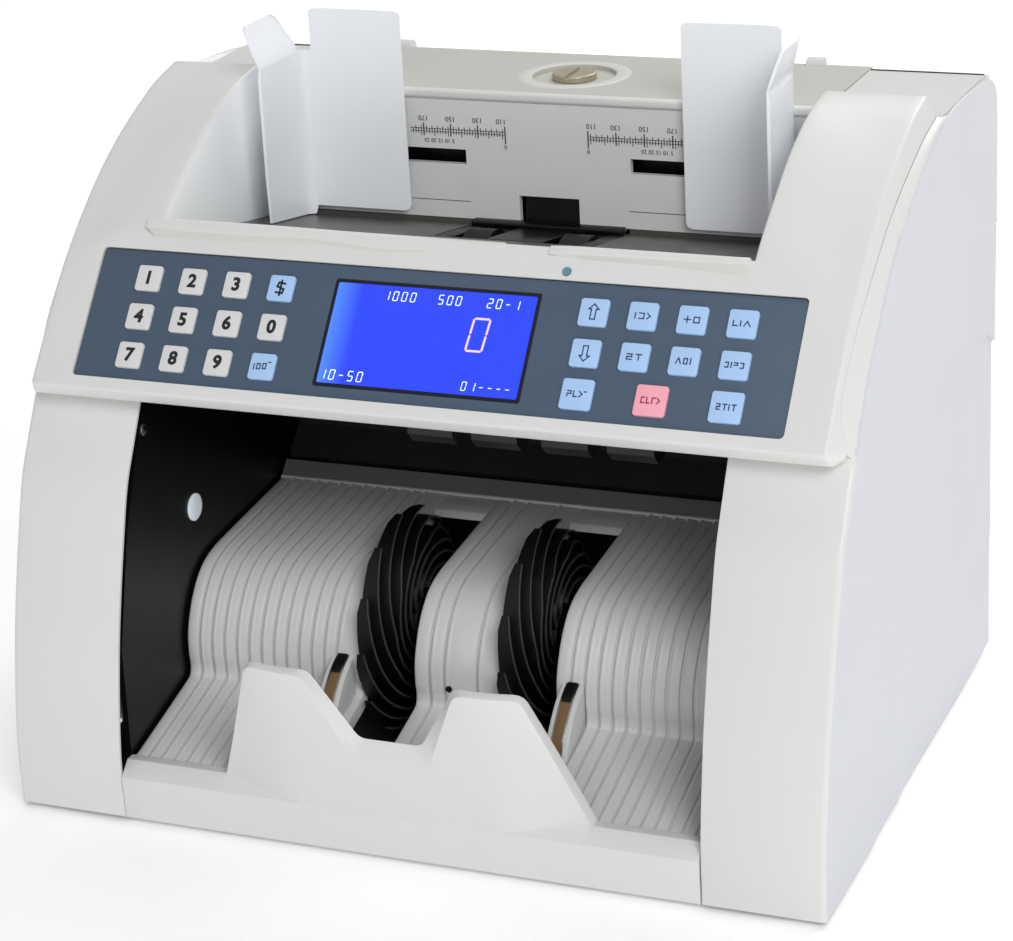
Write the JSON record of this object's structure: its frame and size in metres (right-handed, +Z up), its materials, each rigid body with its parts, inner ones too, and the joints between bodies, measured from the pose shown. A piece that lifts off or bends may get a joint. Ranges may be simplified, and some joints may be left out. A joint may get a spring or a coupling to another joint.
{
  "type": "banknote counting machine",
  "caption": "Desktop banknote counter with a rear-fed top hopper, sliding note guides, sloping key panel with display, and a fan-wheel stacker pocket behind a W-shaped front stop.",
  "frame": {"origin": "centre of the footprint on the table, under the machine", "axes": "+X to the operator's right, +Y from the front to the rear, +Z up"},
  "size_m": [0.29, 0.232, 0.25],
  "materials": {
    "shell_grey": "fine satin moulding",
    "overlay_slate": "smooth printed film",
    "lcd_glass": "clear window over a blue backlight",
    "board_green": "solder mask",
    "lamp_blue": "clear lamp",
    "key_grey": "soft satin",
    "key_blue": "soft satin",
    "key_pink": "soft satin",
    "inner_grey": "satin moulding",
    "dark_plastic": "satin",
    "black_plastic": "satin",
    "lens_white": "frosted lens",
    "rubber": "matte",
    "steel": "turned",
    "tray_metal": "zinc plated sheet",
    "motor_metal": "satin"
  },
  "bodies": {
    "frame": {"side_cover_left": "shell_grey", "side_cover_right": "shell_grey", "front_housing": "shell_grey", "panel_overlay": "overlay_slate", "lcd_window": "lcd_glass", "display_board": "board_green", "status_led": "lamp_blue", "top_cover": "shell_grey", "hopper_back_plate": "inner_grey", "feed_table": "dark_plastic", "stacker_plate": "inner_grey", "ledge_strip": "inner_grey", "exit_chute": "dark_plastic", "pocket_wall_left": "black_plastic", "pocket_wall_right": "black_plastic", "front_guard": "shell_grey", "wear_strips": "inner_grey", "wall_sensors": "lens_white", "base_tray": "tray_metal", "feet": "rubber", "main_motor": "motor_metal", "stacker_motor": "motor_metal", "main_board": "board_green", "power_supply": "tray_metal", "inlet_module": "black_plastic"},
    "rear_door": {"rear_door": "shell_grey"},
    "gap_knob": {"gap_knob": "steel"},
    "retard_block": {"retard_block": "black_plastic"},
    "guide_left": {"guide_left": "inner_grey"},
    "guide_right": {"guide_right": "inner_grey"},
    "guide_pinion": {"guide_pinion": "dark_plastic"},
    "pickup_shaft": {"pickup_shaft": "rubber"},
    "feed_shaft": {"feed_shaft": "rubber"},
    "power_switch": {"power_switch": "black_plastic"},
    "key_1": {"key_1": "key_grey"},
    "key_2": {"key_2": "key_grey"},
    "key_3": {"key_3": "key_grey"},
    "key_mode": {"key_mode": "key_blue"},
    "key_4": {"key_4": "key_grey"},
    "key_5": {"key_5": "key_grey"},
    "key_6": {"key_6": "key_grey"},
    "key_0": {"key_0": "key_grey"},
    "key_7": {"key_7": "key_grey"},
    "key_8": {"key_8": "key_grey"},
    "key_9": {"key_9": "key_grey"},
    "key_batch": {"key_batch": "key_blue"},
    "key_up": {"key_up": "key_blue"},
    "key_count": {"key_count": "key_blue"},
    "key_add": {"key_add": "key_blue"},
    "key_detect": {"key_detect": "key_blue"},
    "key_down": {"key_down": "key_blue"},
    "key_report": {"key_report": "key_blue"},
    "key_print": {"key_print": "key_blue"},
    "key_set": {"key_set": "key_blue"},
    "key_clear": {"key_clear": "key_blue"},
    "key_start": {"key_start": "key_pink"},
    "key_menu": {"key_menu": "key_blue"},
    "stacker": {"stacker_shaft": "steel", "fan_wheel_left": "rubber", "fan_wheel_right": "rubber"}
  },
  "joints": [
    {"name": "key_1_press", "type": "slide", "parent": "frame", "child": "key_1", "axis": [0, 0.7672, -0.6414], "range_m": [0, 0.0008], "stiffness_N_per_m": 500, "springref_m": -0.0004},
    {"name": "key_2_press", "type": "slide", "parent": "frame", "child": "key_2", "axis": [0, 0.7672, -0.6414], "range_m": [0, 0.0008], "stiffness_N_per_m": 500, "springref_m": -0.0004},
    {"name": "key_3_press", "type": "slide", "parent": "frame", "child": "key_3", "axis": [0, 0.7672, -0.6414], "range_m": [0, 0.0008], "stiffness_N_per_m": 500, "springref_m": -0.0004},
    {"name": "key_mode_press", "type": "slide", "parent": "frame", "child": "key_mode", "axis": [0, 0.7672, -0.6414], "range_m": [0, 0.0008], "stiffness_N_per_m": 500, "springref_m": -0.0004},
    {"name": "key_4_press", "type": "slide", "parent": "frame", "child": "key_4", "axis": [0, 0.7672, -0.6414], "range_m": [0, 0.0008], "stiffness_N_per_m": 500, "springref_m": -0.0004},
    {"name": "key_5_press", "type": "slide", "parent": "frame", "child": "key_5", "axis": [0, 0.7672, -0.6414], "range_m": [0, 0.0008], "stiffness_N_per_m": 500, "springref_m": -0.0004},
    {"name": "key_6_press", "type": "slide", "parent": "frame", "child": "key_6", "axis": [0, 0.7672, -0.6414], "range_m": [0, 0.0008], "stiffness_N_per_m": 500, "springref_m": -0.0004},
    {"name": "key_0_press", "type": "slide", "parent": "frame", "child": "key_0", "axis": [0, 0.7672, -0.6414], "range_m": [0, 0.0008], "stiffness_N_per_m": 500, "springref_m": -0.0004},
    {"name": "key_7_press", "type": "slide", "parent": "frame", "child": "key_7", "axis": [0, 0.7672, -0.6414], "range_m": [0, 0.0008], "stiffness_N_per_m": 500, "springref_m": -0.0004},
    {"name": "key_8_press", "type": "slide", "parent": "frame", "child": "key_8", "axis": [0, 0.7672, -0.6414], "range_m": [0, 0.0008], "stiffness_N_per_m": 500, "springref_m": -0.0004},
    {"name": "key_9_press", "type": "slide", "parent": "frame", "child": "key_9", "axis": [0, 0.7672, -0.6414], "range_m": [0, 0.0008], "stiffness_N_per_m": 500, "springref_m": -0.0004},
    {"name": "key_batch_press", "type": "slide", "parent": "frame", "child": "key_batch", "axis": [0, 0.7672, -0.6414], "range_m": [0, 0.0008], "stiffness_N_per_m": 500, "springref_m": -0.0004},
    {"name": "key_up_press", "type": "slide", "parent": "frame", "child": "key_up", "axis": [0, 0.7672, -0.6414], "range_m": [0, 0.0008], "stiffness_N_per_m": 500, "springref_m": -0.0004},
    {"name": "key_count_press", "type": "slide", "parent": "frame", "child": "key_count", "axis": [0, 0.7672, -0.6414], "range_m": [0, 0.0008], "stiffness_N_per_m": 500, "springref_m": -0.0004},
    {"name": "key_add_press", "type": "slide", "parent": "frame", "child": "key_add", "axis": [0, 0.7672, -0.6414], "range_m": [0, 0.0008], "stiffness_N_per_m": 500, "springref_m": -0.0004},
    {"name": "key_detect_press", "type": "slide", "parent": "frame", "child": "key_detect", "axis": [0, 0.7672, -0.6414], "range_m": [0, 0.0008], "stiffness_N_per_m": 500, "springref_m": -0.0004},
    {"name": "key_down_press", "type": "slide", "parent": "frame", "child": "key_down", "axis": [0, 0.7672, -0.6414], "range_m": [0, 0.0008], "stiffness_N_per_m": 500, "springref_m": -0.0004},
    {"name": "key_report_press", "type": "slide", "parent": "frame", "child": "key_report", "axis": [0, 0.7672, -0.6414], "range_m": [0, 0.0008], "stiffness_N_per_m": 500, "springref_m": -0.0004},
    {"name": "key_print_press", "type": "slide", "parent": "frame", "child": "key_print", "axis": [0, 0.7672, -0.6414], "range_m": [0, 0.0008], "stiffness_N_per_m": 500, "springref_m": -0.0004},
    {"name": "key_set_press", "type": "slide", "parent": "frame", "child": "key_set", "axis": [0, 0.7672, -0.6414], "range_m": [0, 0.0008], "stiffness_N_per_m": 500, "springref_m": -0.0004},
    {"name": "key_clear_press", "type": "slide", "parent": "frame", "child": "key_clear", "axis": [0, 0.7672, -0.6414], "range_m": [0, 0.0008], "stiffness_N_per_m": 500, "springref_m": -0.0004},
    {"name": "key_start_press", "type": "slide", "parent": "frame", "child": "key_start", "axis": [0, 0.7672, -0.6414], "range_m": [0, 0.0008], "stiffness_N_per_m": 500, "springref_m": -0.0004},
    {"name": "key_menu_press", "type": "slide", "parent": "frame", "child": "key_menu", "axis": [0, 0.7672, -0.6414], "range_m": [0, 0.0008], "stiffness_N_per_m": 500, "springref_m": -0.0004},
    {"name": "guide_left_slide", "type": "slide", "parent": "frame", "child": "guide_left", "axis": [1, 0, 0], "range_m": [0, 0.033]},
    {"name": "guide_right_slide", "type": "slide", "parent": "frame", "child": "guide_right", "axis": [-1, 0, 0], "range_m": [0, 0.033]},
    {"name": "guide_pinion_spin", "type": "hinge", "parent": "frame", "child": "guide_pinion", "pos_m": [0, 0.05606, 0.198], "axis": [0, 1, 0], "range_deg": [0, 320]},
    {"name": "gap_knob_turn", "type": "hinge", "parent": "frame", "child": "gap_knob", "pos_m": [0, 0.07946, 0.22], "axis": [0, 0, 1], "range_deg": [0, 360]},
    {"name": "retard_block_lift", "type": "slide", "parent": "frame", "child": "retard_block", "axis": [0, 0, 1], "range_m": [0, 0.001]},
    {"name": "rear_door_swing", "type": "hinge", "parent": "frame", "child": "rear_door", "pos_m": [0, 0.11106, 0.2203], "axis": [1, 0, 0], "range_deg": [0, 75]},
    {"name": "feed_shaft_spin", "type": "hinge", "parent": "frame", "child": "feed_shaft", "pos_m": [0, 0.06046, 0.158], "axis": [1, 0, 0], "continuous": true},
    {"name": "pickup_shaft_spin", "type": "hinge", "parent": "frame", "child": "pickup_shaft", "pos_m": [0, 0.03046, 0.164], "axis": [1, 0, 0], "continuous": true},
    {"name": "stacker_spin", "type": "hinge", "parent": "frame", "child": "stacker", "pos_m": [0, -0.01904, 0.048], "axis": [1, 0, 0], "continuous": true},
    {"name": "power_switch_rock", "type": "hinge", "parent": "frame", "child": "power_switch", "pos_m": [-0.087, 0.10846, 0.039], "axis": [1, 0, 0], "range_deg": [-14, 0]}
  ],
  "couplings": [
    {"joint": "guide_right_slide", "follows": "guide_left_slide", "ratio": 1},
    {"joint": "guide_pinion_spin", "follows": "guide_left_slide", "rad_per_m": 161.29},
    {"joint": "retard_block_lift", "follows": "gap_knob_turn", "m_per_rad": 0.00015915},
    {"joint": "pickup_shaft_spin", "follows": "feed_shaft_spin", "ratio": 1.1364}
  ]
}
